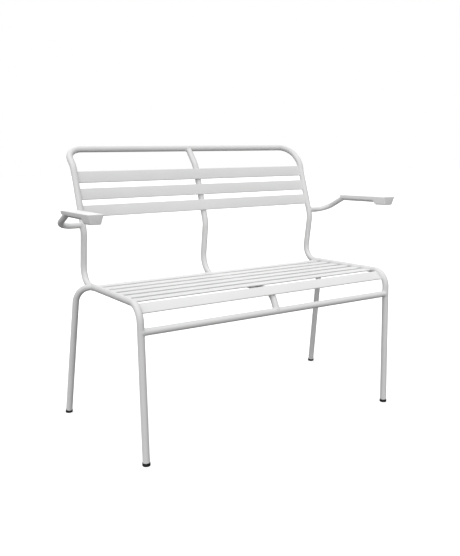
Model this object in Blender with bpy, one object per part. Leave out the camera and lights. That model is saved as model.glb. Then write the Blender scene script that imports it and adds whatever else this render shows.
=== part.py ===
"""Two-seat garden bench of bent steel tube and flat steel slats, with plastic arm pads and foot glides.

Metres, +Z up, the front faces -Y. The origin is on the floor, at the centre of the bench's box.
Side-view points are (y, z) pairs; y is measured from the front foot until place() centres the bench.
"""

import math

import bmesh
import bpy
from mathutils import Matrix, Vector

# Tube and gaps
GAP = 0.0003
TUBE_OD = 0.020
TUBE_WALL = 0.002
BEND_RADIUS = 0.049
SIDES = 16
ARC_STEP = math.radians(15)

# Side frame, as lengths between corner points and leans from the vertical (backwards is positive)
FRAME_WIDTH = 0.869
FRONT_LEG_LENGTH = 0.4418
FRONT_LEG_LEAN = math.radians(2.0)
SEAT_DEPTH = 0.4277
SEAT_FALL = math.radians(2.6)
LUMBAR_LENGTH = 0.168
LUMBAR_LEAN = math.radians(-8.3)
LUMBAR_RADIUS = 0.071
BACK_LENGTH = 0.205
BACK_LEAN = math.radians(20)
CURL_LENGTH = 0.0825
CURL_LEAN = math.radians(52)
CURL_RADIUS = 0.066
SLEEVE_LENGTH = 0.080

# Slats: flat bars with round edges, whose upper face lies in the plane of the tubes' axes
SLAT_WIDTH = 0.037
SLAT_THICKNESS = 0.005
SLAT_PITCH = 0.054
SEAT_SLATS = 6
FIRST_SEAT_SLAT = 0.0825
NOSE_SLAT_ANGLE = math.radians(57)
BACK_SLATS = 3
FIRST_BACK_SLAT = 0.0626

# Cross rail, centre tube and rear legs
CROSS_RAIL_HEIGHT = 0.3688
CENTRE_TUBE_LEAN = math.radians(28)
CENTRE_CLEARANCE = 0.0008
REAR_FOOT_OUT = 0.0596
REAR_FOOT_BACK = 0.4654
REAR_LEG_SPLAY = math.radians(2.96)
REAR_LEG_LEAN = math.radians(9.1)
REAR_LEG_CORNER = 0.422
REAR_LEG_REACH = 0.040
REAR_LEG_RADIUS = 0.060

# Arms: a tube from the upright, running under a moulded pad that straddles it
ARM_OD = 0.018
ARM_WALL = 0.0015
ARM_ABOVE_LUMBAR = 0.0195
ARM_OUT = 0.0795
ARM_RUN = 0.0985
ARM_RISE = 0.0484
ARM_SIDE_RADIUS = 0.044
ARM_REAR_RADIUS = 0.040
PAD_SLOPE = math.radians(1.95)
PAD_BEHIND = 0.0055
PAD_LENGTH = 0.228
PAD_WIDTH = 0.0434
PAD_DEPTH = 0.0115
PAD_AXIS_DEPTH = 0.011
PAD_CORNER = 0.0012
PAD_EDGE = 0.0008
TUBE_IN_PAD = 0.214
NOSE_DEPTH = 0.0273
NOSE_LENGTH = 0.053
NOSE_STEP = 0.011
NOSE_SLANT = 0.0053
NOSE_TAPER = 0.0058
NOSE_CHAMFER = 0.0035
POCKET_INNER = 0.0118
POCKET_OUTER = 0.0165
POCKET_DEPTH = 0.0085
POCKET_END = 0.0060

# The screw under each pad's nose
SCREW_FROM_FRONT = 0.028
SCREW_OD = 0.004
SCREW_LENGTH = 0.0095
SCREW_HEAD_OD = 0.008
SCREW_HEAD_HEIGHT = 0.0022
SCREW_RECESS = 0.0027

# Foot glides
GLIDE_OD = 0.0225
GLIDE_HEIGHT = 0.009
PLUG_LENGTH = 0.020

# Colour, roughness and metallic value of each finish
FINISHES = {
    "white_coated_steel": ((0.80, 0.81, 0.82, 1.0), 0.42, 0.0),
    "white_pad_plastic": ((0.84, 0.85, 0.86, 1.0), 0.50, 0.0),
    "black_glide_plastic": ((0.015, 0.015, 0.016, 1.0), 0.60, 0.0),
    "zinc_steel": ((0.62, 0.63, 0.65, 1.0), 0.35, 1.0),
}


def clear_scene():
    for obj in list(bpy.data.objects):
        bpy.data.objects.remove(obj)


def finish(name):
    """The material of this name, made on first use."""
    material = bpy.data.materials.get(name)
    if material:
        return material
    colour, roughness, metallic = FINISHES[name]
    material = bpy.data.materials.new(name)
    material.use_nodes = True
    shader = material.node_tree.nodes["Principled BSDF"]
    shader.inputs["Base Color"].default_value = colour
    shader.inputs["Roughness"].default_value = roughness
    shader.inputs["Metallic"].default_value = metallic
    material.diffuse_color = colour
    return material


def add_object(name, bm, finish_name, smooth=True):
    bmesh.ops.recalc_face_normals(bm, faces=bm.faces)
    mesh = bpy.data.meshes.new(name)
    bm.to_mesh(mesh)
    bm.free()
    if smooth:
        mesh.shade_smooth()
        mesh.set_sharp_from_angle(angle=math.radians(40))
    obj = bpy.data.objects.new(name, mesh)
    mesh.materials.append(finish(finish_name))
    bpy.context.collection.objects.link(obj)
    return obj


def as_cutter(obj):
    obj.hide_render = True
    obj.display_type = "WIRE"
    return obj


def cut(obj, cutter):
    """Takes the cutter's solid out of the object."""
    boolean = obj.modifiers.new("cut_" + cutter.name, "BOOLEAN")
    boolean.operation = "DIFFERENCE"
    boolean.solver = "EXACT"
    boolean.object = cutter


# ---- paths -------------------------------------------------------------------------------------


def lean_step(point, length, lean):
    """The (y, z) point this far on, in a direction leaning back from the vertical."""
    return (point[0] + length * math.sin(lean), point[1] + length * math.cos(lean))


def arc_between(before, corner, after, radius):
    """Points of the round bend that replaces a corner."""
    to_before = (before - corner).normalized()
    to_after = (after - corner).normalized()
    turn = math.pi - to_before.angle(to_after)
    reach = radius * math.tan(turn / 2)
    centre = corner + (to_before + to_after).normalized() * math.hypot(radius, reach)
    first = corner + to_before * reach - centre
    last = corner + to_after * reach - centre
    steps = max(2, math.ceil(turn / ARC_STEP))
    return [
        centre + (math.sin((1 - t) * turn) * first + math.sin(t * turn) * last) / math.sin(turn)
        for t in (i / steps for i in range(steps + 1))
    ]


def bent_path(corners, radii):
    """A tube's centreline: straight between the corners, with a round bend at each inner one."""
    points = [Vector(corners[0])]
    for i, radius in enumerate(radii, start=1):
        points += arc_between(*(Vector(c) for c in corners[i - 1 : i + 2]), radius)
    return points + [Vector(corners[-1])]


def tangents(path):
    ends = [path[0]] + path + [path[-1]]
    return [(ends[i + 2] - ends[i]).normalized() for i in range(len(path))]


def rolled_frames(path, across):
    """Two directions square to the path at each point, carried along it without twisting."""
    frames = []
    for tangent in tangents(path):
        across = (across - tangent * across.dot(tangent)).normalized()
        frames.append((across, tangent.cross(across)))
    return frames


# ---- solids ------------------------------------------------------------------------------------


def circle_section(radius):
    """A ring of points, with one on each of the four main directions."""
    turns = [i * 2 * math.pi / SIDES for i in range(SIDES)]
    return [(radius * math.cos(turn), radius * math.sin(turn)) for turn in turns]


def skin(bm, path, frames, sections):
    """Rings along a path, joined by faces. Gives the first and last ring."""
    rings = [
        [bm.verts.new(point + u * across + v * up) for u, v in section]
        for point, (across, up), section in zip(path, frames, sections)
    ]
    for near, far in zip(rings, rings[1:]):
        for i in range(SIDES):
            j = (i + 1) % SIDES
            bm.faces.new((near[i], near[j], far[j], far[i]))
    return rings[0], rings[-1]


def join_rings(bm, outer, inner):
    for i in range(SIDES):
        j = (i + 1) % SIDES
        bm.faces.new((outer[i], outer[j], inner[j], inner[i]))


def sweep(name, path, across, outer, inner=None, finish_name="white_coated_steel"):
    """A rod along a path, or a tube if it has inner sections."""
    bm = bmesh.new()
    frames = rolled_frames(path, across)
    ends = skin(bm, path, frames, outer)
    if inner:
        for outside, inside in zip(ends, skin(bm, path, frames, inner)):
            join_rings(bm, outside, inside)
    else:
        for ring in ends:
            bm.faces.new(ring)
    return add_object(name, bm, finish_name)


def tube(name, path, across, outside=TUBE_OD, wall=TUBE_WALL):
    count = len(path)
    outer = [circle_section(outside / 2)] * count
    inner = [circle_section(outside / 2 - wall)] * count
    return sweep(name, path, across, outer, inner)


def tube_cutter(name, path, across, outside=TUBE_OD):
    """The solid that a mating piece is coped to: the tube's outside plus the gap."""
    sections = [circle_section(outside / 2 + GAP)] * len(path)
    return as_cutter(sweep(name, path, across, sections))


def turned(name, outline, origin, axis, finish_name, steps=2 * SIDES):
    """A solid of revolution from (radius, height) points along an axis."""
    bm = bmesh.new()
    verts = [bm.verts.new((radius, 0, height)) for radius, height in outline]
    edges = [bm.edges.new(pair) for pair in zip(verts, verts[1:])]
    bmesh.ops.spin(
        bm, geom=verts + edges, cent=(0, 0, 0), axis=(0, 0, 1), angle=2 * math.pi,
        steps=steps, use_merge=True,
    )
    bmesh.ops.remove_doubles(bm, verts=bm.verts, dist=1e-6)
    turn = Vector((0, 0, 1)).rotation_difference(axis).to_matrix().to_4x4()
    bmesh.ops.transform(bm, matrix=Matrix.Translation(origin) @ turn, verts=bm.verts)
    return add_object(name, bm, finish_name)


def box(name, size, centre):
    bm = bmesh.new()
    bmesh.ops.create_cube(bm, size=1.0)
    bmesh.ops.scale(bm, vec=size, verts=bm.verts)
    bmesh.ops.translate(bm, vec=centre, verts=bm.verts)
    return add_object(name, bm, "white_coated_steel", smooth=False)


# ---- the frame's own geometry ------------------------------------------------------------------


def side_profile():
    """Corner points of the side frame in side view, from the front foot to the top rail."""
    points = [(0.0, 0.0)]
    for length, lean in (
        (FRONT_LEG_LENGTH, FRONT_LEG_LEAN),
        (SEAT_DEPTH, math.pi / 2 + SEAT_FALL),
        (LUMBAR_LENGTH, LUMBAR_LEAN),
        (BACK_LENGTH, BACK_LEAN),
        (CURL_LENGTH, CURL_LEAN),
    ):
        points.append(lean_step(points[-1], length, lean))
    front = -GLIDE_OD / 2 / math.cos(FRONT_LEG_LEAN)
    middle = (front + points[-1][0] + TUBE_OD / 2) / 2
    return [Vector((y - middle, z)) for y, z in points]


FOOT, SEAT_FRONT, SEAT_REAR, LUMBAR, CURL, TOP = PROFILE = side_profile()


def place(x, point):
    return Vector((x, point[0], point[1]))


def along(start, end, distance):
    """(point, direction, normal) in side view; the normal points to the sitter's side."""
    direction = (end - start).normalized()
    return start + direction * distance, direction, Vector((-direction[1], direction[0]))


def offset_corner(before, corner, after, depth):
    """A profile corner moved so that both its straights lie this far under and behind."""
    _, first, normal_a = along(before, corner, 0)
    _, second, normal_b = along(corner, after, 0)
    shift = (normal_a + normal_b) / (1 + normal_a.dot(normal_b))
    return corner - shift * depth


def leg_axis_at(height):
    """Side-view point on the front leg's axis."""
    return FOOT + (SEAT_FRONT - FOOT) * (height / SEAT_FRONT[1])


X_AXIS = Vector((1, 0, 0))
Z_AXIS = Vector((0, 0, 1))


def frame_path(side):
    """Centreline of one half of the main frame, from the foot to the middle of the top rail."""
    x = side * FRAME_WIDTH / 2
    foot = leg_axis_at(GLIDE_HEIGHT + GAP)
    corners = [place(x, foot), *(place(x, point) for point in PROFILE[1:]), place(side * GAP / 2, TOP)]
    return bent_path(corners, (BEND_RADIUS, BEND_RADIUS, LUMBAR_RADIUS, CURL_RADIUS, BEND_RADIUS))


def centre_path():
    """Centreline of the middle support, under the seat slats and behind the back slats."""
    depth = SLAT_THICKNESS + GAP + TUBE_OD / 2
    start = leg_axis_at(CROSS_RAIL_HEIGHT)
    below_front = offset_corner(FOOT, SEAT_FRONT, SEAT_REAR, depth)
    below_rear = offset_corner(SEAT_FRONT, SEAT_REAR, LUMBAR, depth)
    behind_lumbar = offset_corner(SEAT_REAR, LUMBAR, CURL, depth)
    _, back, normal = along(LUMBAR, CURL, 0)
    behind_curl = LUMBAR - normal * depth + back * BACK_LENGTH
    run = (below_rear - below_front).normalized()
    rise = Vector((math.sin(CENTRE_TUBE_LEAN), math.cos(CENTRE_TUBE_LEAN)))
    front = start + rise * (run.cross(below_front - start) / run.cross(rise))
    front_radius = radius_clear_of_nose(front, rise, run)
    corners = [start, front, below_rear, behind_lumbar, behind_curl, TOP]
    radii = (front_radius, BEND_RADIUS + depth, LUMBAR_RADIUS - depth, CURL_RADIUS)
    return bent_path([place(0, corner) for corner in corners], radii)


def radius_clear_of_nose(corner, rise, run):
    """The bend radius that takes the centre tube past the back of the first slat."""
    face, _, normal = nose_slat_place()
    under_slat = (face - normal * SLAT_THICKNESS - corner).dot(normal)
    inwards = (run - rise).normalized()
    pull = -inwards.dot(normal) / math.cos(rise.angle(run) / 2) - 1
    return (TUBE_OD / 2 + CENTRE_CLEARANCE - under_slat) / pull


def rear_leg_path(side):
    """Centreline of a rear leg, from its foot, round its bend and forwards into the side rail."""
    foot_x = FRAME_WIDTH / 2 + REAR_FOOT_OUT
    foot_y = FOOT[0] + REAR_FOOT_BACK

    def on_leg(z):
        x = foot_x - z * math.tan(REAR_LEG_SPLAY)
        y = foot_y - z * math.tan(REAR_LEG_LEAN)
        return Vector((side * x, y, z))

    corner = on_leg(REAR_LEG_CORNER)
    end_y = corner[1] - REAR_LEG_REACH
    share = (end_y - SEAT_FRONT[0]) / (SEAT_REAR[0] - SEAT_FRONT[0])
    end = place(side * FRAME_WIDTH / 2, SEAT_FRONT.lerp(SEAT_REAR, share))
    return bent_path([on_leg(GLIDE_HEIGHT + GAP), corner, end], (REAR_LEG_RADIUS,))


# ---- pieces ------------------------------------------------------------------------------------


def make_frame():
    cutters = {}
    for word, side in (("left", -1), ("right", 1)):
        path = frame_path(side)
        tube("side_frame_" + word, path, X_AXIS)
        cutters[side] = tube_cutter("cutter_frame_" + word, path, X_AXIS)
    half = Vector((SLEEVE_LENGTH / 2, 0, 0))
    middle = place(0, TOP)
    tube("top_rail_sleeve", [middle - half, middle + half], Z_AXIS, TUBE_OD - 2 * TUBE_WALL - 2 * GAP)
    return cutters


def make_cross_rail(frame_cutters):
    point = leg_axis_at(CROSS_RAIL_HEIGHT)
    path = [place(side * FRAME_WIDTH / 2, point) for side in (-1, 1)]
    rail = tube("front_cross_rail", path, Z_AXIS)
    for cutter in frame_cutters.values():
        cut(rail, cutter)
    return tube_cutter("cutter_cross_rail", path, Z_AXIS)


def make_centre_tube(rail_cutter):
    path = centre_path()
    centre = tube("centre_tube", path, X_AXIS)
    half = Vector((FRAME_WIDTH / 4, 0, 0))
    middle = place(0, TOP)
    cut(centre, rail_cutter)
    cut(centre, tube_cutter("cutter_top_rail", [middle - half, middle + half], Z_AXIS))


def make_rear_legs(frame_cutters):
    for word, side in (("left", -1), ("right", 1)):
        leg = tube("rear_leg_" + word, rear_leg_path(side), X_AXIS)
        cut(leg, frame_cutters[side])


def slat(name, face, direction, normal):
    """A flat bar between the side frames; its face's centre line is at the side-view point face."""
    half_length = FRAME_WIDTH / 2 - TUBE_OD / 2 - GAP
    radius = SLAT_THICKNESS / 2
    middle = face - normal * radius
    section = []
    for end in (1, -1):
        centre = middle + direction * end * (SLAT_WIDTH / 2 - radius)
        for i in range(5):
            turn = math.pi * (i / 4 - 0.5)
            section.append(centre + end * radius * (math.cos(turn) * direction + math.sin(turn) * normal))
    bm = bmesh.new()
    ends = [[bm.verts.new(place(x, point)) for point in section] for x in (-half_length, half_length)]
    for ring in ends:
        bm.faces.new(ring)
    count = len(section)
    for i in range(count):
        j = (i + 1) % count
        bm.faces.new((ends[0][i], ends[0][j], ends[1][j], ends[1][i]))
    add_object(name, bm, "white_coated_steel")


def make_slats():
    slat("seat_slat_1", *nose_slat_place())
    for i in range(SEAT_SLATS):
        distance = FIRST_SEAT_SLAT + i * SLAT_PITCH
        slat(f"seat_slat_{i + 2}", *along(SEAT_FRONT, SEAT_REAR, distance))
    for i in range(BACK_SLATS):
        distance = FIRST_BACK_SLAT + i * SLAT_PITCH
        slat(f"back_slat_{i + 1}", *along(LUMBAR, CURL, distance))


def nose_slat_place():
    """The first slat spans the front bend as a chord: both its edges lie on the tube's centreline."""
    leg = (FOOT - SEAT_FRONT).normalized()
    rail = (SEAT_REAR - SEAT_FRONT).normalized()
    half_turn = (math.pi - leg.angle(rail)) / 2
    centre = SEAT_FRONT + (leg + rail).normalized() * (BEND_RADIUS / math.cos(half_turn))
    normal = Vector((-math.cos(NOSE_SLAT_ANGLE), math.sin(NOSE_SLAT_ANGLE)))
    direction = Vector((normal[1], -normal[0]))
    chord = math.sqrt(BEND_RADIUS**2 - (SLAT_WIDTH / 2) ** 2)
    return centre + normal * chord, direction, normal


def arm_corners(side):
    """Corners of an arm tube: out from the upright, forward and up, then along under the pad."""
    start, _, _ = along(LUMBAR, CURL, ARM_ABOVE_LUMBAR)
    forward = Vector((-math.cos(PAD_SLOPE), math.sin(PAD_SLOPE)))
    level = start + Vector((-ARM_RUN, ARM_RISE))
    end = level + forward * (PAD_BEHIND + TUBE_IN_PAD)
    out = side * (FRAME_WIDTH / 2 + ARM_OUT)
    return [place(side * FRAME_WIDTH / 2, start), place(out, start), place(out, level), place(out, end)]


def make_arm(word, side, frame_cutter):
    """The arm tube. Gives it, its end point and its direction there."""
    path = bent_path(arm_corners(side), (ARM_SIDE_RADIUS, ARM_REAR_RADIUS))
    arm = tube("arm_tube_" + word, path, Z_AXIS, ARM_OD, ARM_WALL)
    cut(arm, frame_cutter)
    return arm, path[-1], (path[-1] - path[-2]).normalized()


def pad_half_width(distance):
    """Half width of the pad in plan at this distance from its rear, with rounded corners."""
    near = min(distance, PAD_LENGTH - distance)
    if near >= PAD_CORNER:
        return PAD_WIDTH / 2
    return PAD_WIDTH / 2 - PAD_CORNER + math.sqrt(PAD_CORNER**2 - (PAD_CORNER - near) ** 2)


def pad_outline(distance, depth):
    """The pad across its length, as (width, depth below the top) points."""
    width = pad_half_width(distance)
    bottom = width - NOSE_TAPER * depth / NOSE_DEPTH
    share = (depth - PAD_DEPTH) / (NOSE_DEPTH - PAD_DEPTH)
    chamfer = PAD_EDGE + share * (NOSE_CHAMFER - PAD_EDGE)
    half = [(width - PAD_EDGE, 0.0), (width, PAD_EDGE)]
    half += [(bottom, depth - chamfer), (bottom - chamfer, depth)]
    return half + [(-x, z) for x, z in reversed(half)]


def make_pad(word, top, forward, up):
    """The pad's solid, from the point in the middle of its rear top edge."""
    corner = [PAD_CORNER * share for share in (0, 0.3, 1)]
    nose = PAD_LENGTH - NOSE_LENGTH
    stations = [(distance, PAD_DEPTH, 0) for distance in corner]
    stations += [(nose - NOSE_STEP, PAD_DEPTH, 0), (nose, NOSE_DEPTH, 0)]
    slope = NOSE_SLANT / NOSE_DEPTH
    stations += [(PAD_LENGTH - distance, NOSE_DEPTH, slope) for distance in reversed(corner)]
    bm = bmesh.new()
    rings = []
    for distance, depth, slant in stations:
        ring = []
        for x, z in pad_outline(distance, depth):
            ring.append(bm.verts.new(top + forward * (distance - slant * z) + X_AXIS * x - up * z))
        rings.append(ring)
    count = len(rings[0])
    for near, far in zip(rings, rings[1:]):
        for i in range(count):
            j = (i + 1) % count
            bm.faces.new((near[i], near[j], far[j], far[i]))
    for ring in (rings[0], rings[-1]):
        bm.faces.new(ring)
    return add_object("arm_pad_" + word, bm, "white_pad_plastic")


def cut_pad_channel(word, pad, top, forward, up):
    """The half-round channel that straddles the tube, and the hollow on each side of it."""
    axis = top - up * PAD_AXIS_DEPTH
    path = [axis - forward * PAD_BEHIND, axis + forward * (TUBE_IN_PAD + GAP)]
    cut(pad, tube_cutter("cutter_channel_" + word, path, Z_AXIS, ARM_OD))
    half_length = (PAD_LENGTH - NOSE_LENGTH - NOSE_STEP - 2 * POCKET_END) / 2
    centre = top + forward * (POCKET_END + half_length) - up * (PAD_DEPTH - POCKET_DEPTH + 0.01)
    for side in (-1, 1):
        middle = centre + X_AXIS * side * (POCKET_INNER + POCKET_OUTER) / 2
        size = (POCKET_OUTER - POCKET_INNER, 2 * half_length, 0.02)
        pocket = box(f"cutter_pocket_{word}_{side}", size, (0, 0, 0))
        frame = Matrix((X_AXIS, -forward, up)).transposed().to_4x4()
        pocket.data.transform(Matrix.Translation(middle) @ frame)
        cut(pad, as_cutter(pocket))


def make_pad_screw(word, arm, pad, top, forward, up):
    """A screw from beneath the nose, through its plastic and into the tube's lower wall."""
    head = SCREW_HEAD_OD / 2
    radius = SCREW_OD / 2
    seat = top + forward * (PAD_LENGTH - SCREW_FROM_FRONT) - up * (NOSE_DEPTH - SCREW_RECESS)
    outline = [
        (0, -SCREW_HEAD_HEIGHT), (head * 0.7, -SCREW_HEAD_HEIGHT), (head, -SCREW_HEAD_HEIGHT / 2),
        (head, -GAP), (radius, -GAP), (radius, SCREW_LENGTH), (0, SCREW_LENGTH),
    ]
    turned("pad_screw_" + word, outline, seat, up, "zinc_steel", 12)
    bore = head + GAP
    hole = [
        (0, -0.01), (bore, -0.01), (bore, 0), (radius + GAP, 0),
        (radius + GAP, SCREW_LENGTH + GAP), (0, SCREW_LENGTH + GAP),
    ]
    cutter = as_cutter(turned("cutter_screw_" + word, hole, seat, up, "zinc_steel", 12))
    cut(arm, cutter)
    cut(pad, cutter)


def make_arms(frame_cutters):
    for word, side in (("left", -1), ("right", 1)):
        arm, end, forward = make_arm(word, side, frame_cutters[side])
        up = forward.cross(X_AXIS)
        top = end - forward * TUBE_IN_PAD + up * PAD_AXIS_DEPTH
        pad = make_pad(word, top, forward, up)
        cut_pad_channel(word, pad, top, forward, up)
        make_pad_screw(word, arm, pad, top, forward, up)


def make_glide(name, path):
    """A plastic foot: a plug inside the tube and a wider head cut level with the floor."""
    tube_end = path[0]
    up = (path[1] - path[0]).normalized()
    plug = TUBE_OD / 2 - TUBE_WALL - GAP
    head = GLIDE_OD / 2
    below = 2 * GLIDE_HEIGHT
    outline = [(0, -below), (head, -below), (head, -GAP)]
    outline += [(plug, -GAP), (plug, PLUG_LENGTH), (0, PLUG_LENGTH)]
    glide = turned(name, outline, tube_end, up, "black_glide_plastic")
    floor = box("cutter_floor_" + name, (0.1, 0.1, 0.1), (tube_end[0], tube_end[1], -0.05))
    cut(glide, as_cutter(floor))


def make_glides():
    for word, side in (("left", -1), ("right", 1)):
        make_glide("glide_front_" + word, frame_path(side))
        make_glide("glide_rear_" + word, rear_leg_path(side))


def main():
    clear_scene()
    frame_cutters = make_frame()
    rail_cutter = make_cross_rail(frame_cutters)
    make_centre_tube(rail_cutter)
    make_rear_legs(frame_cutters)
    make_slats()
    make_arms(frame_cutters)
    make_glides()


main()
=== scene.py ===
import math

import bmesh
import bpy
from mathutils import Matrix, Vector


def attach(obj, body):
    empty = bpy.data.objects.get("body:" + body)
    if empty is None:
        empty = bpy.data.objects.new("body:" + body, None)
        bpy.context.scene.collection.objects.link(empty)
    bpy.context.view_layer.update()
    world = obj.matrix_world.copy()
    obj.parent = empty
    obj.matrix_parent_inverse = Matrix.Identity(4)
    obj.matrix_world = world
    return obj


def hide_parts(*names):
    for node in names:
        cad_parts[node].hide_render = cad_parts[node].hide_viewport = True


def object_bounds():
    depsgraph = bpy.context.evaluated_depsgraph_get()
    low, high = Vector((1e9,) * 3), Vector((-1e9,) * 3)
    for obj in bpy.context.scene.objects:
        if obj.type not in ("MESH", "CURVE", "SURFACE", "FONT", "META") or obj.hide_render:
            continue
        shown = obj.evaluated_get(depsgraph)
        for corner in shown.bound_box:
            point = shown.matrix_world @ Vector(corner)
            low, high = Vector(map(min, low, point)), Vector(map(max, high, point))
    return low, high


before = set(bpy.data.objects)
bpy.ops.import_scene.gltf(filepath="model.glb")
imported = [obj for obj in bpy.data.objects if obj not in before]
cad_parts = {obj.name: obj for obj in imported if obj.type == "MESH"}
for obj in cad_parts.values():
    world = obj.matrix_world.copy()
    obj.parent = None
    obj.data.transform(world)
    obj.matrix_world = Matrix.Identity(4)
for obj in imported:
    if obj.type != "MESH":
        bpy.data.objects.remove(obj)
cad_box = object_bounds()

# ---- Camera ------------------------------------------------------------------------------------
# It stands to the left of the bench's front, a little above the top rail, and looks slightly down.

camera_data = bpy.data.cameras.new("camera")
camera_data.sensor_width = 36
camera_data.lens = 43.493
camera_data.clip_end = 60
camera = bpy.data.objects.new("camera", camera_data)
camera.location = (-1.1190, -1.8213, 0.8630)
camera.rotation_euler = (math.radians(90 - 11.674), 0, math.radians(-31.569))
bpy.context.scene.collection.objects.link(camera)
bpy.context.scene.camera = camera

# ---- Side frames -------------------------------------------------------------------------------
# Each side is one length of 20 mm round steel tube, cold bent from the front foot to the top rail.
# Both halves meet in the middle of the top rail over an inner sleeve. White powder coat, baked on.

tube_radius = 0.00992
nominal_radius = 0.010
bend_radius = 0.049
lumbar_radius = 0.071
curl_radius = 0.066
frame_width = 0.869
foot_height = 0.009
frame_runs = (
    (0.4418, math.radians(2.0)),
    (0.4277, math.radians(92.6)),
    (0.1680, math.radians(-8.3)),
    (0.2050, math.radians(20)),
    (0.0825, math.radians(52)),
)
arc_step = math.radians(4)
x_axis = Vector((1, 0, 0))
z_axis = Vector((0, 0, 1))


def hex_colour(text):
    """An sRGB hex colour as linear red, green, blue and alpha."""
    channels = [int(text[i : i + 2], 16) / 255 for i in (1, 3, 5)]
    linear = [c / 12.92 if c <= 0.04045 else ((c + 0.055) / 1.055) ** 2.4 for c in channels]
    return (*linear, 1.0)


def add_node(tree, kind, inputs=(), **settings):
    """Adds a node. Each input is set to a value, or linked where the value is a socket."""
    node = tree.nodes.new(kind)
    for name, value in settings.items():
        setattr(node, name, value)
    for key, value in dict(inputs).items():
        if isinstance(value, bpy.types.NodeSocket):
            tree.links.new(value, node.inputs[key])
        else:
            node.inputs[key].default_value = value
    return node


def new_material(name, colour, roughness, metallic=0.0):
    """A material with its tree and its shader, set to one colour and one roughness to start from."""
    material = bpy.data.materials.new(name)
    material.use_nodes = True
    tree = material.node_tree
    shader = tree.nodes["Principled BSDF"]
    shader.inputs["Base Color"].default_value = hex_colour(colour)
    shader.inputs["Roughness"].default_value = roughness
    shader.inputs["Metallic"].default_value = metallic
    return material, tree, shader


def add_bump(tree, shader, height, depth):
    """Raises the surface by the height socket times depth, in metres."""
    bump = add_node(tree, "ShaderNodeBump", {"Height": height, "Distance": depth, "Strength": 1.0})
    tree.links.new(bump.outputs["Normal"], shader.inputs["Normal"])


# Polyester powder coat: an even white with a soft sheen. It flows out in the oven to an orange peel
# about 1.5 mm across and a few microns deep, drawn deeper here so that it shows as a broken sheen.
powder_coat, tree, shader = new_material("powder_coated_steel", "#E8E8E8", 0.52)
shader.inputs["Specular IOR Level"].default_value = 0.05
place = add_node(tree, "ShaderNodeTexCoord").outputs["Object"]
peel = add_node(tree, "ShaderNodeTexNoise", {"Vector": place, "Scale": 650, "Detail": 1.5})
cloud = add_node(tree, "ShaderNodeTexNoise", {"Vector": place, "Scale": 8, "Detail": 3})
tone = add_node(
    tree, "ShaderNodeMix",
    {0: cloud.outputs["Fac"], 6: hex_colour("#E3E3E3"), 7: hex_colour("#EBEBEB")},
    data_type="RGBA",
)
sheen = add_node(
    tree, "ShaderNodeMapRange", {"Value": peel.outputs["Fac"], "To Min": 0.48, "To Max": 0.58}
)
tree.links.new(tone.outputs[2], shader.inputs["Base Color"])
tree.links.new(sheen.outputs["Result"], shader.inputs["Roughness"])
add_bump(tree, shader, peel.outputs["Fac"], 0.00003)


def side_profile():
    """Corner points (y, z) of the side frame, from the front foot to the top rail's axis.

    The top rail's rear face is the bench's rearmost point, which fixes the profile's place.
    """
    points = [Vector((0, 0))]
    for length, lean in frame_runs:
        points.append(points[-1] + length * Vector((math.sin(lean), math.cos(lean))))
    shift = Vector((cad_box[1][1] - nominal_radius - points[-1][0], 0))
    return [point + shift for point in points]


foot, seat_front, seat_rear, lumbar, curl, top = profile = side_profile()


def at_x(x, point):
    return Vector((x, point[0], point[1]))


def arc_between(before, corner, after, radius):
    """Points of the round bend that replaces a corner."""
    to_before = (before - corner).normalized()
    to_after = (after - corner).normalized()
    turn = math.pi - to_before.angle(to_after)
    reach = radius * math.tan(turn / 2)
    centre = corner + (to_before + to_after).normalized() * math.hypot(radius, reach)
    first = corner + to_before * reach - centre
    last = corner + to_after * reach - centre
    steps = math.ceil(turn / arc_step)
    return [
        centre + (math.sin((1 - t) * turn) * first + math.sin(t * turn) * last) / math.sin(turn)
        for t in (i / steps for i in range(steps + 1))
    ]


def bent_path(corners, radii):
    """A tube's centreline: straight between the corners, with a round bend at each inner one."""
    points = [Vector(corners[0])]
    for i, radius in enumerate(radii, start=1):
        points += arc_between(*(Vector(c) for c in corners[i - 1 : i + 2]), radius)
    return points + [Vector(corners[-1])]


def circle(radius, sides=40):
    turns = [i * 2 * math.pi / sides for i in range(sides)]
    return [(radius * math.cos(turn), radius * math.sin(turn)) for turn in turns]


def join_rings(bm, rings):
    """Joins rings of vertices into a closed skin, with a face over each end."""
    count = len(rings[0])
    for near, far in zip(rings, rings[1:]):
        for i in range(count):
            j = (i + 1) % count
            bm.faces.new((near[i], near[j], far[j], far[i]))
    bm.faces.new(rings[0])
    bm.faces.new(rings[-1])


def add_tube(bm, path, across=x_axis, radius=tube_radius):
    """A round bar along a path. Its ends lie inside a neighbour or behind a plug, so it is capped."""
    ends = [path[0], *path, path[-1]]
    rings = []
    for i, point in enumerate(path):
        ahead = (ends[i + 2] - ends[i]).normalized()
        across = (across - ahead * across.dot(ahead)).normalized()
        up = ahead.cross(across)
        rings.append([bm.verts.new(point + across * u + up * v) for u, v in circle(radius)])
    join_rings(bm, rings)


def add_piece(name, bm, material):
    """Makes the object from its mesh, shaded smooth except along edges sharper than 40 degrees."""
    bmesh.ops.recalc_face_normals(bm, faces=bm.faces)
    mesh = bpy.data.meshes.new(name)
    bm.to_mesh(mesh)
    bm.free()
    mesh.shade_smooth()
    mesh.set_sharp_from_angle(angle=math.radians(40))
    mesh.materials.append(material)
    piece = bpy.data.objects.new(name, mesh)
    bpy.context.scene.collection.objects.link(piece)
    return piece


def stands_for(piece, slot, *nodes):
    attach(piece, "root")
    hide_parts(*nodes)


def on_front_leg(height):
    """Side-view point on the front leg's axis."""
    return foot + (seat_front - foot) * (height / seat_front[1])


def frame_path(side):
    x = side * frame_width / 2
    corners = [at_x(x, on_front_leg(foot_height))] + [at_x(x, point) for point in profile[1:]]
    radii = (bend_radius, bend_radius, lumbar_radius, curl_radius, bend_radius)
    return bent_path(corners + [at_x(0, top)], radii)


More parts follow.
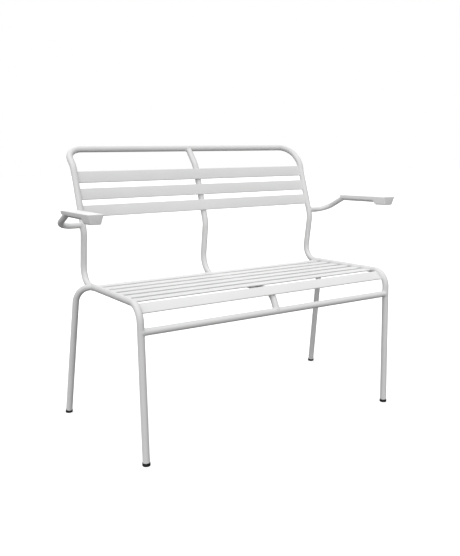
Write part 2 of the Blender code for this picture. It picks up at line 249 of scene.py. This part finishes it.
sides = (("left", -1), ("right", 1))
for word, side in sides:
    bm = bmesh.new()
    add_tube(bm, frame_path(side))
    half = add_piece("bent_side_frame_" + word, bm, powder_coat)
    stands_for(half, "coated_steel", "side_frame_" + word)

# The sleeve is bright drawn tube, hidden inside the top rail: grey steel with fine draw lines.
bright_steel, tree, shader = new_material("bright_drawn_steel", "#A9ABAD", 0.34, 1.0)
place = add_node(tree, "ShaderNodeTexCoord").outputs["Object"]
stretched = add_node(tree, "ShaderNodeMapping", {"Vector": place, "Scale": (20, 2500, 2500)})
lines = add_node(
    tree, "ShaderNodeTexNoise", {"Vector": stretched.outputs[0], "Scale": 1.0, "Detail": 2}
)
add_bump(tree, shader, lines.outputs["Fac"], 0.00002)
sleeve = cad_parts["top_rail_sleeve"]
sleeve.data.materials.clear()
sleeve.data.materials.append(bright_steel)

# ---- Front cross rail and centre tube ----------------------------------------------------------
# The cross rail ties the front legs. The centre tube rises from it, runs under the seat slats and
# behind the back slats, and ends at the top rail. Both are coped and welded with a small fillet.

cross_rail_height = 0.3688
slat_width = 0.037
slat_thickness = 0.005
nose_angle = math.radians(57)
weld_gap = 0.0003
centre_lean = math.radians(28)
centre_clearance = 0.0008
bead_radius = 0.0016
bead_ripple = 0.00022
ripple_pitch = 0.0022
bead_sides = 8
bead_steps = 120


def add_bead(bm, points, radius=bead_radius, closed=True):
    """A weld bead along a line of points, with the overlapping ripples that a hand weld leaves.

    A bead that isn't closed on itself thins towards both ends.
    """
    walked = 0.0
    rings = []
    count = len(points)
    for i, point in enumerate(points):
        before = points[(i - 1) % count] if closed or i else point
        after = points[(i + 1) % count] if closed or i < count - 1 else point
        ahead = (after - before).normalized()
        across = ahead.orthogonal().normalized() if not rings else across
        across = (across - ahead * across.dot(ahead)).normalized()
        up = ahead.cross(across)
        walked += (point - before).length
        end = 1.0 if closed else min(1.0, 0.35 + 8 * min(i, count - 1 - i) / count)
        size = (radius + bead_ripple * math.cos(2 * math.pi * walked / ripple_pitch)) * end
        section = circle(size, bead_sides)
        rings.append([bm.verts.new(point + across * u + up * v) for u, v in section])
    pairs = list(zip(rings, rings[1:]))
    if closed:
        pairs.append((rings[-1], rings[0]))
    for near, far in pairs:
        start = min(range(bead_sides), key=lambda k: (far[k].co - near[0].co).length)
        for i in range(bead_sides):
            j = (i + 1) % bead_sides
            a, b = (start + i) % bead_sides, (start + j) % bead_sides
            bm.faces.new((near[i], near[j], far[b], far[a]))
    if not closed:
        bm.faces.new(rings[0])
        bm.faces.new(rings[-1])


def add_joint_bead(bm, joint, branch, main, radius=tube_radius):
    """The bead round a tube that meets a frame tube: joint is where the two axes cross."""
    branch = branch.normalized()
    main = main.normalized()
    across = branch.cross(main).normalized()
    up = branch.cross(across)
    step = branch - main * branch.dot(main)
    points = []
    for i in range(bead_steps):
        turn = 2 * math.pi * i / bead_steps
        offset = radius * (math.cos(turn) * across + math.sin(turn) * up)
        flat = offset - main * offset.dot(main)
        half = flat.dot(step)
        inside = max(0.0, half**2 - step.length_squared * (flat.length_squared - tube_radius**2))
        points.append(joint + offset + branch * (-half + math.sqrt(inside)) / step.length_squared)
    add_bead(bm, points)


def along(start, end, distance):
    """(point, direction, normal) on a side-view line; the normal points to the sitter's side."""
    direction = (end - start).normalized()
    return start + direction * distance, direction, Vector((-direction[1], direction[0]))


def offset_corner(before, corner, after, depth):
    """A profile corner moved so that both its straights lie this far under and behind."""
    _, _, first = along(before, corner, 0)
    _, _, second = along(corner, after, 0)
    return corner - (first + second) / (1 + first.dot(second)) * depth


def nose_slat_place():
    """The first slat spans the front bend as a chord, with both edges on the tube's centreline."""
    leg = (foot - seat_front).normalized()
    rail = (seat_rear - seat_front).normalized()
    half_turn = (math.pi - leg.angle(rail)) / 2
    centre = seat_front + (leg + rail).normalized() * (bend_radius / math.cos(half_turn))
    normal = Vector((-math.cos(nose_angle), math.sin(nose_angle)))
    chord = math.sqrt(bend_radius**2 - (slat_width / 2) ** 2)
    return centre + normal * chord, Vector((normal[1], -normal[0])), normal


def centre_path():
    depth = slat_thickness + weld_gap + tube_radius
    start = on_front_leg(cross_rail_height)
    below_front = offset_corner(foot, seat_front, seat_rear, depth)
    below_rear = offset_corner(seat_front, seat_rear, lumbar, depth)
    behind_lumbar = offset_corner(seat_rear, lumbar, curl, depth)
    _, back, normal = along(lumbar, curl, 0)
    behind_curl = lumbar - normal * depth + back * (curl - lumbar).length
    run = (below_rear - below_front).normalized()
    rise = Vector((math.sin(centre_lean), math.cos(centre_lean)))
    front = start + rise * (run.cross(below_front - start) / run.cross(rise))
    corners = [start, front, below_rear, behind_lumbar, behind_curl, top]
    face, _, slat_normal = nose_slat_place()
    under_slat = (face - slat_normal * slat_thickness - front).dot(slat_normal)
    pull = -(run - rise).normalized().dot(slat_normal) / math.cos(rise.angle(run) / 2) - 1
    front_radius = (tube_radius + centre_clearance - under_slat) / pull
    radii = (front_radius, bend_radius + depth, lumbar_radius - depth, curl_radius)
    return bent_path([at_x(0, corner) for corner in corners], radii)


rail_axis = on_front_leg(cross_rail_height)
leg_direction = at_x(0, seat_front - foot)
bm = bmesh.new()
rail_ends = [at_x(side * frame_width / 2, rail_axis) for side in (-1, 1)]
add_tube(bm, rail_ends, z_axis)
for end, inwards in zip(rail_ends, (x_axis, -x_axis)):
    add_joint_bead(bm, end, inwards, leg_direction)
rail = add_piece("coped_front_cross_rail", bm, powder_coat)
stands_for(rail, "coated_steel", "front_cross_rail")

bm = bmesh.new()
path = centre_path()
add_tube(bm, path)
add_joint_bead(bm, path[0], path[1] - path[0], x_axis)
add_joint_bead(bm, path[-1], path[-2] - path[-1], x_axis)
centre = add_piece("bent_centre_tube", bm, powder_coat)
stands_for(centre, "coated_steel", "centre_tube")

# ---- Rear legs ---------------------------------------------------------------------------------
# Each rear leg is the same tube, splayed out and back. It bends forwards at its top and is welded
# to the outer side of the seat rail, so the bench has four feet.

rear_foot_out = 0.0596
rear_foot_back = 0.4654
rear_splay = math.radians(2.96)
rear_lean = math.radians(9.1)
rear_corner = 0.422
rear_reach = 0.040
rear_radius = 0.060


def rear_leg_path(side):
    def on_leg(z):
        x = frame_width / 2 + rear_foot_out - z * math.tan(rear_splay)
        return Vector((side * x, foot[0] + rear_foot_back - z * math.tan(rear_lean), z))

    corner = on_leg(rear_corner)
    share = (corner[1] - rear_reach - seat_front[0]) / (seat_rear[0] - seat_front[0])
    end = at_x(side * frame_width / 2, seat_front.lerp(seat_rear, share))
    return bent_path([on_leg(foot_height), corner, end], (rear_radius,))


seat_direction = at_x(0, seat_rear - seat_front)
for word, side in sides:
    bm = bmesh.new()
    path = rear_leg_path(side)
    add_tube(bm, path)
    add_joint_bead(bm, path[-1], path[-2] - path[-1], seat_direction)
    leg = add_piece("splayed_rear_leg_" + word, bm, powder_coat)
    stands_for(leg, "coated_steel", "rear_leg_" + word)

# ---- Slats -------------------------------------------------------------------------------------
# Seven seat slats and three back slats of flat steel bar, 37 by 5 mm with round-rolled edges.
# Each is welded at both ends to the side frames and tacked to the centre tube from behind.

slat_pitch = 0.054
slat_edge = 0.0024
first_seat_slat = 0.0825
first_back_slat = 0.0626
slat_short = 0.0045
slat_end = frame_width / 2 - slat_short
edge_steps = 4
end_bead_radius = 0.0013
end_bead_gap = 0.0002
tack_radius = 0.0011
tack_offset = 0.0022
tack_share = 0.4
bead_inset = 0.002


def slat_outline():
    """The bar's section as (across, depth) points, with the face at depth 0."""
    near_face, near_back = slat_edge, slat_thickness - slat_edge
    quarters = ((1, near_face, 90), (1, near_back, 0), (-1, near_back, -90), (-1, near_face, -180))
    points = []
    for sign, depth, start in quarters:
        for i in range(edge_steps + 1):
            turn = math.radians(start - 90 * i / edge_steps)
            across = sign * (slat_width / 2 - slat_edge) + slat_edge * math.cos(turn)
            points.append((across, depth - slat_edge * math.sin(turn)))
    return points


def add_slat(name, node, face, direction, normal):
    bm = bmesh.new()
    outline = [face + direction * across - normal * depth for across, depth in slat_outline()]
    stations = (-slat_end, -slat_end / 2, 0, slat_end / 2, slat_end)
    join_rings(bm, [[bm.verts.new(at_x(x, point)) for point in outline] for x in stations])
    half = slat_width / 2 - bead_inset
    steps = [half * (i / 24 - 1) for i in range(49)]
    back = face - normal * slat_thickness
    for side in (-1, 1):
        end_x = side * (frame_width / 2 - math.sqrt(tube_radius**2 - slat_thickness**2))
        line = [at_x(end_x, back - normal * end_bead_gap + direction * t) for t in steps]
        add_bead(bm, line, radius=end_bead_radius, closed=False)
        line = [at_x(side * tack_offset, back + direction * t * tack_share) for t in steps]
        add_bead(bm, line, radius=tack_radius, closed=False)
    slat = add_piece(name, bm, powder_coat)
    stands_for(slat, "coated_steel", node)


add_slat("flat_nose_slat", "seat_slat_1", *nose_slat_place())
for i in range(6):
    place_on_seat = along(seat_front, seat_rear, first_seat_slat + i * slat_pitch)
    add_slat(f"flat_seat_slat_{i + 2}", f"seat_slat_{i + 2}", *place_on_seat)
for i in range(3):
    place_on_back = along(lumbar, curl, first_back_slat + i * slat_pitch)
    add_slat(f"flat_back_slat_{i + 1}", f"back_slat_{i + 1}", *place_on_back)

# ---- Arm tubes ---------------------------------------------------------------------------------
# An 18 mm tube leaves each upright sideways, turns forwards and up, and runs level under the pad.
# Its open front end is inside the pad's nose.

arm_radius = 0.009
arm_above_lumbar = 0.0195
arm_out = 0.0795
arm_run = 0.0985
arm_rise = 0.0484
arm_side_radius = 0.044
arm_rear_radius = 0.040
pad_slope = math.radians(1.95)
pad_behind = 0.0055
tube_in_pad = 0.214
pad_forward = Vector((0, -math.cos(pad_slope), math.sin(pad_slope)))
pad_up = Vector((0, math.sin(pad_slope), math.cos(pad_slope)))


def arm_path(side):
    start, _, _ = along(lumbar, curl, arm_above_lumbar)
    out = side * (frame_width / 2 + arm_out)
    level = at_x(out, start + Vector((-arm_run, arm_rise)))
    end = level + pad_forward * (pad_behind + tube_in_pad)
    corners = [at_x(side * frame_width / 2, start), at_x(out, start), level, end]
    return bent_path(corners, (arm_side_radius, arm_rear_radius))


for word, side in sides:
    bm = bmesh.new()
    path = arm_path(side)
    add_tube(bm, path, z_axis, arm_radius)
    add_joint_bead(bm, path[0], x_axis * side, at_x(0, curl - lumbar), arm_radius)
    arm = add_piece("bent_arm_tube_" + word, bm, powder_coat)
    stands_for(arm, "coated_steel", "arm_tube_" + word)

# ---- Arm pads ----------------------------------------------------------------------------------
# Moulded polypropylene, 228 by 43 mm. A channel underneath straddles the tube, a hollow lightens
# each side of it, and the deep nose closes round the tube's end.

pad_length = 0.228
pad_width = 0.0434
pad_depth = 0.0115
pad_axis_depth = 0.011
pad_corner = 0.0012
pad_edge = 0.0008
nose_depth = 0.0273
nose_length = 0.053
nose_step = 0.011
nose_slant = 0.0053
nose_taper = 0.0058
nose_round = 0.0045
rear_softening = 0.25
nose_softening = 0.45
pocket_inner = 0.0118
pocket_outer = 0.0165
pocket_depth = 0.0085
pocket_end = 0.0060
screw_from_front = 0.028
screw_recess = 0.0027
counterbore_radius = 0.0043
screw_hole_radius = 0.0022
screw_hole_depth = 0.008
screw_hole_lap = 0.002
channel_gap = 0.0002
tube_end_gap = 0.0003
cut_past = 0.01
level_with_pad = Matrix((x_axis, -pad_forward, pad_up)).transposed().to_4x4()

# Polypropylene with a fine spark-eroded mould texture: a satin white, a little brighter and softer
# than the coated steel. The real grain is about 0.15 mm, drawn at 0.5 mm so that it can show.
pad_plastic, tree, shader = new_material("moulded_polypropylene", "#F4F4F4", 0.55)
shader.inputs["Specular IOR Level"].default_value = 0.1
shader.inputs["IOR"].default_value = 1.49
shader.inputs["Subsurface Weight"].default_value = 0.06
shader.inputs["Subsurface Radius"].default_value = (0.002, 0.002, 0.002)
place = add_node(tree, "ShaderNodeTexCoord").outputs["Object"]
grain = add_node(tree, "ShaderNodeTexNoise", {"Vector": place, "Scale": 2000, "Detail": 2})
flow = add_node(tree, "ShaderNodeTexNoise", {"Vector": place, "Scale": 14, "Detail": 2})
tone = add_node(
    tree, "ShaderNodeMix",
    {0: flow.outputs["Fac"], 6: hex_colour("#F1F1F1"), 7: hex_colour("#F7F7F7")},
    data_type="RGBA",
)
sheen = add_node(
    tree, "ShaderNodeMapRange", {"Value": grain.outputs["Fac"], "To Min": 0.42, "To Max": 0.52}
)
tree.links.new(tone.outputs[2], shader.inputs["Base Color"])
tree.links.new(sheen.outputs["Result"], shader.inputs["Roughness"])
add_bump(tree, shader, grain.outputs["Fac"], 0.00003)


def pad_outline(inset, depth, soften):
    """The pad's whole section as (x, z) points, z below the top: one half, then its mirror image."""
    half_width = pad_width / 2 - inset
    drop = inset * soften
    bottom = half_width - nose_taper * depth / nose_depth
    share = (depth - pad_depth) / (nose_depth - pad_depth)
    low_edge = pad_edge + share * (nose_round - pad_edge)
    half = [(half_width * 0.35, drop), (half_width * 0.7, drop)]
    quarter = [math.radians(15 * i) for i in range(7)]
    for turn in quarter:
        half.append((
            half_width - pad_edge + pad_edge * math.sin(turn),
            drop + pad_edge - pad_edge * math.cos(turn),
        ))
    for turn in quarter:
        half.append((
            bottom - low_edge + low_edge * math.cos(turn),
            depth - drop - low_edge + low_edge * math.sin(turn),
        ))
    return half + [(-x, z) for x, z in reversed(half)]


def add_cutter(name, bm):
    """An object that only cuts: it is removed once the cut is made."""
    bmesh.ops.recalc_face_normals(bm, faces=bm.faces)
    mesh = bpy.data.meshes.new(name)
    bm.to_mesh(mesh)
    bm.free()
    cutter = bpy.data.objects.new(name, mesh)
    bpy.context.scene.collection.objects.link(cutter)
    return cutter


def add_round_cutter(name, start, end, across, radius):
    bm = bmesh.new()
    add_tube(bm, [start, end], across, radius)
    return add_cutter(name, bm)


def add_box_cutter(name, middle, size):
    """A box of this width, length and height, level with the pad."""
    bm = bmesh.new()
    bmesh.ops.create_cube(bm, size=1.0)
    bmesh.ops.scale(bm, vec=size, verts=bm.verts)
    matrix = Matrix.Translation(middle) @ level_with_pad
    bmesh.ops.transform(bm, matrix=matrix, verts=bm.verts)
    return add_cutter(name, bm)


def cut_away(piece, cutters):
    """Takes each cutter's solid out of the piece for good, and removes the cutter."""
    for cutter in cutters:
        boolean = piece.modifiers.new("cut", "BOOLEAN")
        boolean.operation = "DIFFERENCE"
        boolean.solver = "EXACT"
        boolean.object = cutter
    bpy.context.view_layer.update()
    graph = bpy.context.evaluated_depsgraph_get()
    mesh = bpy.data.meshes.new_from_object(piece.evaluated_get(graph), depsgraph=graph)
    piece.modifiers.clear()
    piece.data = mesh
    for cutter in cutters:
        bpy.data.objects.remove(cutter)
    mesh.shade_smooth()
    mesh.set_sharp_from_angle(angle=math.radians(35))


def pad_rear_point(side):
    """(middle of the pad's top at its rear end, end of the tube inside it)."""
    end = arm_path(side)[-1]
    return end - pad_forward * tube_in_pad + pad_up * pad_axis_depth, end


def screw_seat(pad_rear):
    """Where the screw's head bears, in the counterbore under the nose."""
    forward = pad_forward * (pad_length - screw_from_front)
    return pad_rear + forward - pad_up * (nose_depth - screw_recess)


def pad_cutters(pad_rear, end):
    """The tube's channel, the hollow on each side of it, and the screw's counterbored hole.

    The channel, the hollows and the counterbore reach past the pad, so that they cut through.
    """
    rear = pad_rear - pad_up * pad_axis_depth - pad_forward * cut_past
    front = end + pad_forward * tube_end_gap
    cutters = [add_round_cutter("channel", rear, front, z_axis, arm_radius + channel_gap)]
    run = (pad_length - nose_length - nose_step - 2 * pocket_end) / 2
    for side in (-1, 1):
        middle = pad_rear + pad_forward * (pocket_end + run)
        middle += x_axis * side * (pocket_inner + pocket_outer) / 2
        middle -= pad_up * (pad_depth - pocket_depth + cut_past)
        size = (pocket_outer - pocket_inner, 2 * run, 2 * cut_past)
        cutters.append(add_box_cutter("hollow", middle, size))
    seat = screw_seat(pad_rear)
    for radius, low, high in (
        (counterbore_radius, -cut_past, 0.0),
        (screw_hole_radius, -screw_hole_lap, screw_hole_depth),
    ):
        low_end, high_end = seat + pad_up * low, seat + pad_up * high
        cutters.append(add_round_cutter("screw_hole", low_end, high_end, x_axis, radius))
    return cutters


def pad_stations():
    """Where the pad's sections stand: (distance from the rear, depth, slant, share of softening)."""
    round_off = [pad_corner * (1 - math.cos(math.radians(t))) for t in range(0, 91, 10)]
    nose = pad_length - nose_length
    stations = [(s, pad_depth, 0, rear_softening) for s in round_off]
    for i in range(1, 9):
        share = i / 8
        ease = share * share * (3 - 2 * share)
        depth = pad_depth + (nose_depth - pad_depth) * ease
        stations.append((nose - nose_step + nose_step * share, depth, 0, rear_softening))
    slant = nose_slant / nose_depth
    for s in reversed(round_off):
        stations.append((pad_length - s, nose_depth, slant, nose_softening))
    return stations


for word, side in sides:
    pad_rear, end = pad_rear_point(side)
    bm = bmesh.new()
    rings = []
    for distance, depth, lean, soften in pad_stations():
        near = min(distance, pad_length - distance, pad_corner)
        inset = pad_corner - math.sqrt(pad_corner**2 - (pad_corner - near) ** 2)
        ring = []
        for x, z in pad_outline(inset, depth, soften):
            point = pad_rear + pad_forward * (distance - lean * z) + x_axis * x - pad_up * z
            ring.append(bm.verts.new(point))
        rings.append(ring)
    join_rings(bm, rings)
    pad = add_piece("moulded_arm_pad_" + word, bm, pad_plastic)
    cut_away(pad, pad_cutters(pad_rear, end))
    stands_for(pad, "pad_plastic", "arm_pad_" + word)

# ---- Pad screws --------------------------------------------------------------------------------
# One pan-head screw per arm, driven up under the nose into the tube's wall. Carbon steel, zinc
# plated, with a cross recess.

screw_radius = 0.002
screw_length = 0.0095
head_radius = 0.004
head_height = 0.0022
head_gap = 0.0003
tip_length = 0.0015
tip_radius = screw_radius * 0.7
thread_pitch = 0.0014
thread_start = 0.0005
thread_rise = 0.0006
thread_root = screw_radius * 0.78
plain_length = 0.003
recess_long = 0.0036
recess_short = 0.0009
recess_height = 0.0016
recess_gap = 0.0001

# Zinc plate: a cool pale metal, with a faint cloudy mottle a few millimetres across.
zinc_plate, tree, shader = new_material("zinc_plated_steel", "#BFC2C6", 0.32, 1.0)
place = add_node(tree, "ShaderNodeTexCoord").outputs["Object"]
mottle = add_node(tree, "ShaderNodeTexNoise", {"Vector": place, "Scale": 500, "Detail": 3})
dull = add_node(
    tree, "ShaderNodeMapRange", {"Value": mottle.outputs["Fac"], "To Min": 0.24, "To Max": 0.42}
)
tree.links.new(dull.outputs["Result"], shader.inputs["Roughness"])


def add_turned(bm, outline, origin, axis, steps=48):
    """A solid of revolution from (radius, height) points along an axis."""
    verts = [bm.verts.new((radius, 0, height)) for radius, height in outline]
    edges = [bm.edges.new(pair) for pair in zip(verts, verts[1:])]
    bmesh.ops.spin(
        bm, geom=verts + edges, cent=(0, 0, 0), axis=(0, 0, 1), angle=2 * math.pi,
        steps=steps, use_merge=True,
    )
    bmesh.ops.remove_doubles(bm, verts=bm.verts, dist=1e-6)
    turned = z_axis.rotation_difference(axis).to_matrix().to_4x4()
    bmesh.ops.transform(bm, matrix=Matrix.Translation(origin) @ turned, verts=bm.verts)


def screw_outline():
    """Domed head, then a shank whose thread is drawn as rings of 1.4 mm pitch."""
    dome = [(0, -head_height)]
    for i in range(1, 8):
        turn = math.radians(90 * i / 7)
        height = head_height * (0.25 + 0.75 * math.cos(turn))
        dome.append((head_radius * math.sin(turn), -height))
    shank = [(head_radius, -head_gap), (screw_radius, -head_gap)]
    for i in range(int((screw_length - plain_length) / thread_pitch)):
        start = thread_start + i * thread_pitch
        shank += [
            (thread_root, start),
            (screw_radius, start + thread_rise),
            (thread_root, start + 2 * thread_rise),
        ]
    return dome + shank + [(tip_radius, screw_length - tip_length), (0, screw_length)]


for word, side in sides:
    pad_rear, _ = pad_rear_point(side)
    seat = screw_seat(pad_rear)
    bm = bmesh.new()
    add_turned(bm, screw_outline(), seat, pad_up, steps=32)
    screw = add_piece("pan_head_screw_" + word, bm, zinc_plate)
    middle = seat - pad_up * (head_height + recess_gap)
    slots = ((recess_long, recess_short), (recess_short, recess_long))
    cut_away(screw, [
        add_box_cutter("recess", middle, (width, length, recess_height)) for width, length in slots
    ])
    stands_for(screw, "screw_steel", "pad_screw_" + word)

# ---- Foot glides -------------------------------------------------------------------------------
# Black polyethylene plugs, pressed into the four feet. The head is a little wider than the tube
# and its sole is cut level with the ground.

glide_radius = 0.0112
glide_height = 0.009
glide_lip = 0.0010
sole_edge = 0.0018
plug_length = 0.020
plug_radius = tube_radius - 0.002
plug_chamfer = 0.002
plug_gap = 0.0001
dust_height = 0.004

# Injection-moulded polyethylene: a soft black with a slightly waxy sheen and dusty scuffs low down.
glide_plastic, tree, shader = new_material("moulded_polyethylene", "#121213", 0.52)
shader.inputs["IOR"].default_value = 1.51
place = add_node(tree, "ShaderNodeTexCoord").outputs["Object"]
height = add_node(tree, "ShaderNodeSeparateXYZ", {"Vector": place}).outputs["Z"]
low = add_node(
    tree, "ShaderNodeMapRange",
    {"Value": height, "From Min": 0.0, "From Max": dust_height, "To Min": 1.0, "To Max": 0.0},
)
speck = add_node(tree, "ShaderNodeTexNoise", {"Vector": place, "Scale": 700, "Detail": 4})
dust = add_node(
    tree, "ShaderNodeMath", {0: low.outputs["Result"], 1: speck.outputs["Fac"]}, operation="MULTIPLY"
)
tone = add_node(
    tree, "ShaderNodeMix",
    {0: dust.outputs[0], 6: hex_colour("#18181A"), 7: hex_colour("#3A3937")}, data_type="RGBA",
)
tree.links.new(tone.outputs[2], shader.inputs["Base Color"])
add_bump(tree, shader, speck.outputs["Fac"], 0.00003)


def glide_outline():
    """Head with a round upper lip, then the plug with a chamfered end, as (radius, height)."""
    outline = [(0, -2 * glide_height), (glide_radius, -2 * glide_height)]
    for i in range(6):
        turn = math.radians(18 * i)
        outline.append((
            glide_radius - glide_lip + glide_lip * math.cos(turn),
            -plug_gap - glide_lip + glide_lip * math.sin(turn),
        ))
    return outline + [
        (plug_radius, -plug_gap),
        (plug_radius, plug_length - plug_chamfer),
        (plug_radius - plug_chamfer, plug_length),
        (0, plug_length),
    ]


def soften_edges(piece, width):
    bevel = piece.modifiers.new("soft_edges", "BEVEL")
    bevel.width = width
    bevel.segments = 2
    bevel.limit_method = "ANGLE"
    bevel.angle_limit = math.radians(40)
    bevel.harden_normals = True


def add_glide(name, node, path):
    """A turned head and plug, leaning with its leg, with the sole cut level at the floor."""
    bm = bmesh.new()
    add_turned(bm, glide_outline(), path[0], (path[1] - path[0]).normalized())
    whole = bm.verts[:] + bm.edges[:] + bm.faces[:]
    cut = bmesh.ops.bisect_plane(
        bm, geom=whole, plane_co=(0, 0, 0), plane_no=(0, 0, -1), clear_outer=True
    )
    rim = [item for item in cut["geom_cut"] if isinstance(item, bmesh.types.BMEdge)]
    bmesh.ops.contextual_create(bm, geom=rim)
    glide = add_piece(name, bm, glide_plastic)
    soften_edges(glide, sole_edge)
    stands_for(glide, "glide_plastic", node)


for word, side in sides:
    add_glide("front_foot_glide_" + word, "glide_front_" + word, frame_path(side))
    add_glide("rear_foot_glide_" + word, "glide_rear_" + word, rear_leg_path(side))

# ---- Floor and light ---------------------------------------------------------------------------
# A plain white floor under a soft sky: brightest above the front left, with a little more straight
# overhead, and a narrow fill low at the back so that the rear of the bench isn't left dark.

floor_glow = 0.32
floor_size = 14
sky_direction = (-0.35, -0.41, 0.842)
fill_direction = (0.490, 0.800, 0.346)

# Matt white floor paint: it glows a little, so that no grey shadow pools under the seat.
floor_paint, tree, shader = new_material("white_floor_paint", "#FFFFFF", 0.9)
shader.inputs["Specular IOR Level"].default_value = 0.0
shader.inputs["Emission Color"].default_value = hex_colour("#FFFFFF")
shader.inputs["Emission Strength"].default_value = floor_glow
bm = bmesh.new()
bmesh.ops.create_grid(bm, x_segments=8, y_segments=8, size=floor_size)
floor = add_piece("floor", bm, floor_paint)
floor.visible_diffuse = False
floor.visible_glossy = False

world = bpy.data.worlds.new("studio")
bpy.context.scene.world = world
world.use_nodes = True
tree = world.node_tree
sky = tree.nodes["Background"]
ray = add_node(tree, "ShaderNodeTexCoord").outputs["Generated"]
towards_light = add_node(
    tree, "ShaderNodeVectorMath", {0: ray, 1: sky_direction}, operation="DOT_PRODUCT"
)
strength = add_node(
    tree, "ShaderNodeMapRange",
    {
        "Value": towards_light.outputs["Value"],
        "From Min": -0.05, "From Max": 1, "To Min": 0.05, "To Max": 1.50,
    },
)
height = add_node(tree, "ShaderNodeSeparateXYZ", {0: ray}).outputs["Z"]
overhead = add_node(
    tree, "ShaderNodeMapRange",
    {"Value": height, "From Min": 0.6, "From Max": 1, "To Min": 0, "To Max": 0.2},
)
from_behind = add_node(
    tree, "ShaderNodeVectorMath", {0: ray, 1: fill_direction}, operation="DOT_PRODUCT"
)
fill = add_node(
    tree, "ShaderNodeMapRange",
    {
        "Value": from_behind.outputs["Value"],
        "From Min": 0.85, "From Max": 1, "To Min": 0, "To Max": 2.3,
    },
)
additions = add_node(
    tree, "ShaderNodeMath", {0: overhead.outputs["Result"], 1: fill.outputs["Result"]}, operation="ADD"
)
total = add_node(
    tree, "ShaderNodeMath", {0: strength.outputs["Result"], 1: additions.outputs[0]}, operation="ADD"
)
seen = add_node(tree, "ShaderNodeLightPath").outputs["Is Camera Ray"]
shown = add_node(tree, "ShaderNodeMix", {0: seen, 2: total.outputs[0], 3: 1.0})
tree.links.new(shown.outputs[0], sky.inputs["Strength"])
sky.inputs["Color"].default_value = hex_colour("#FFFFFF")

bpy.context.scene.view_settings.view_transform = "Standard"
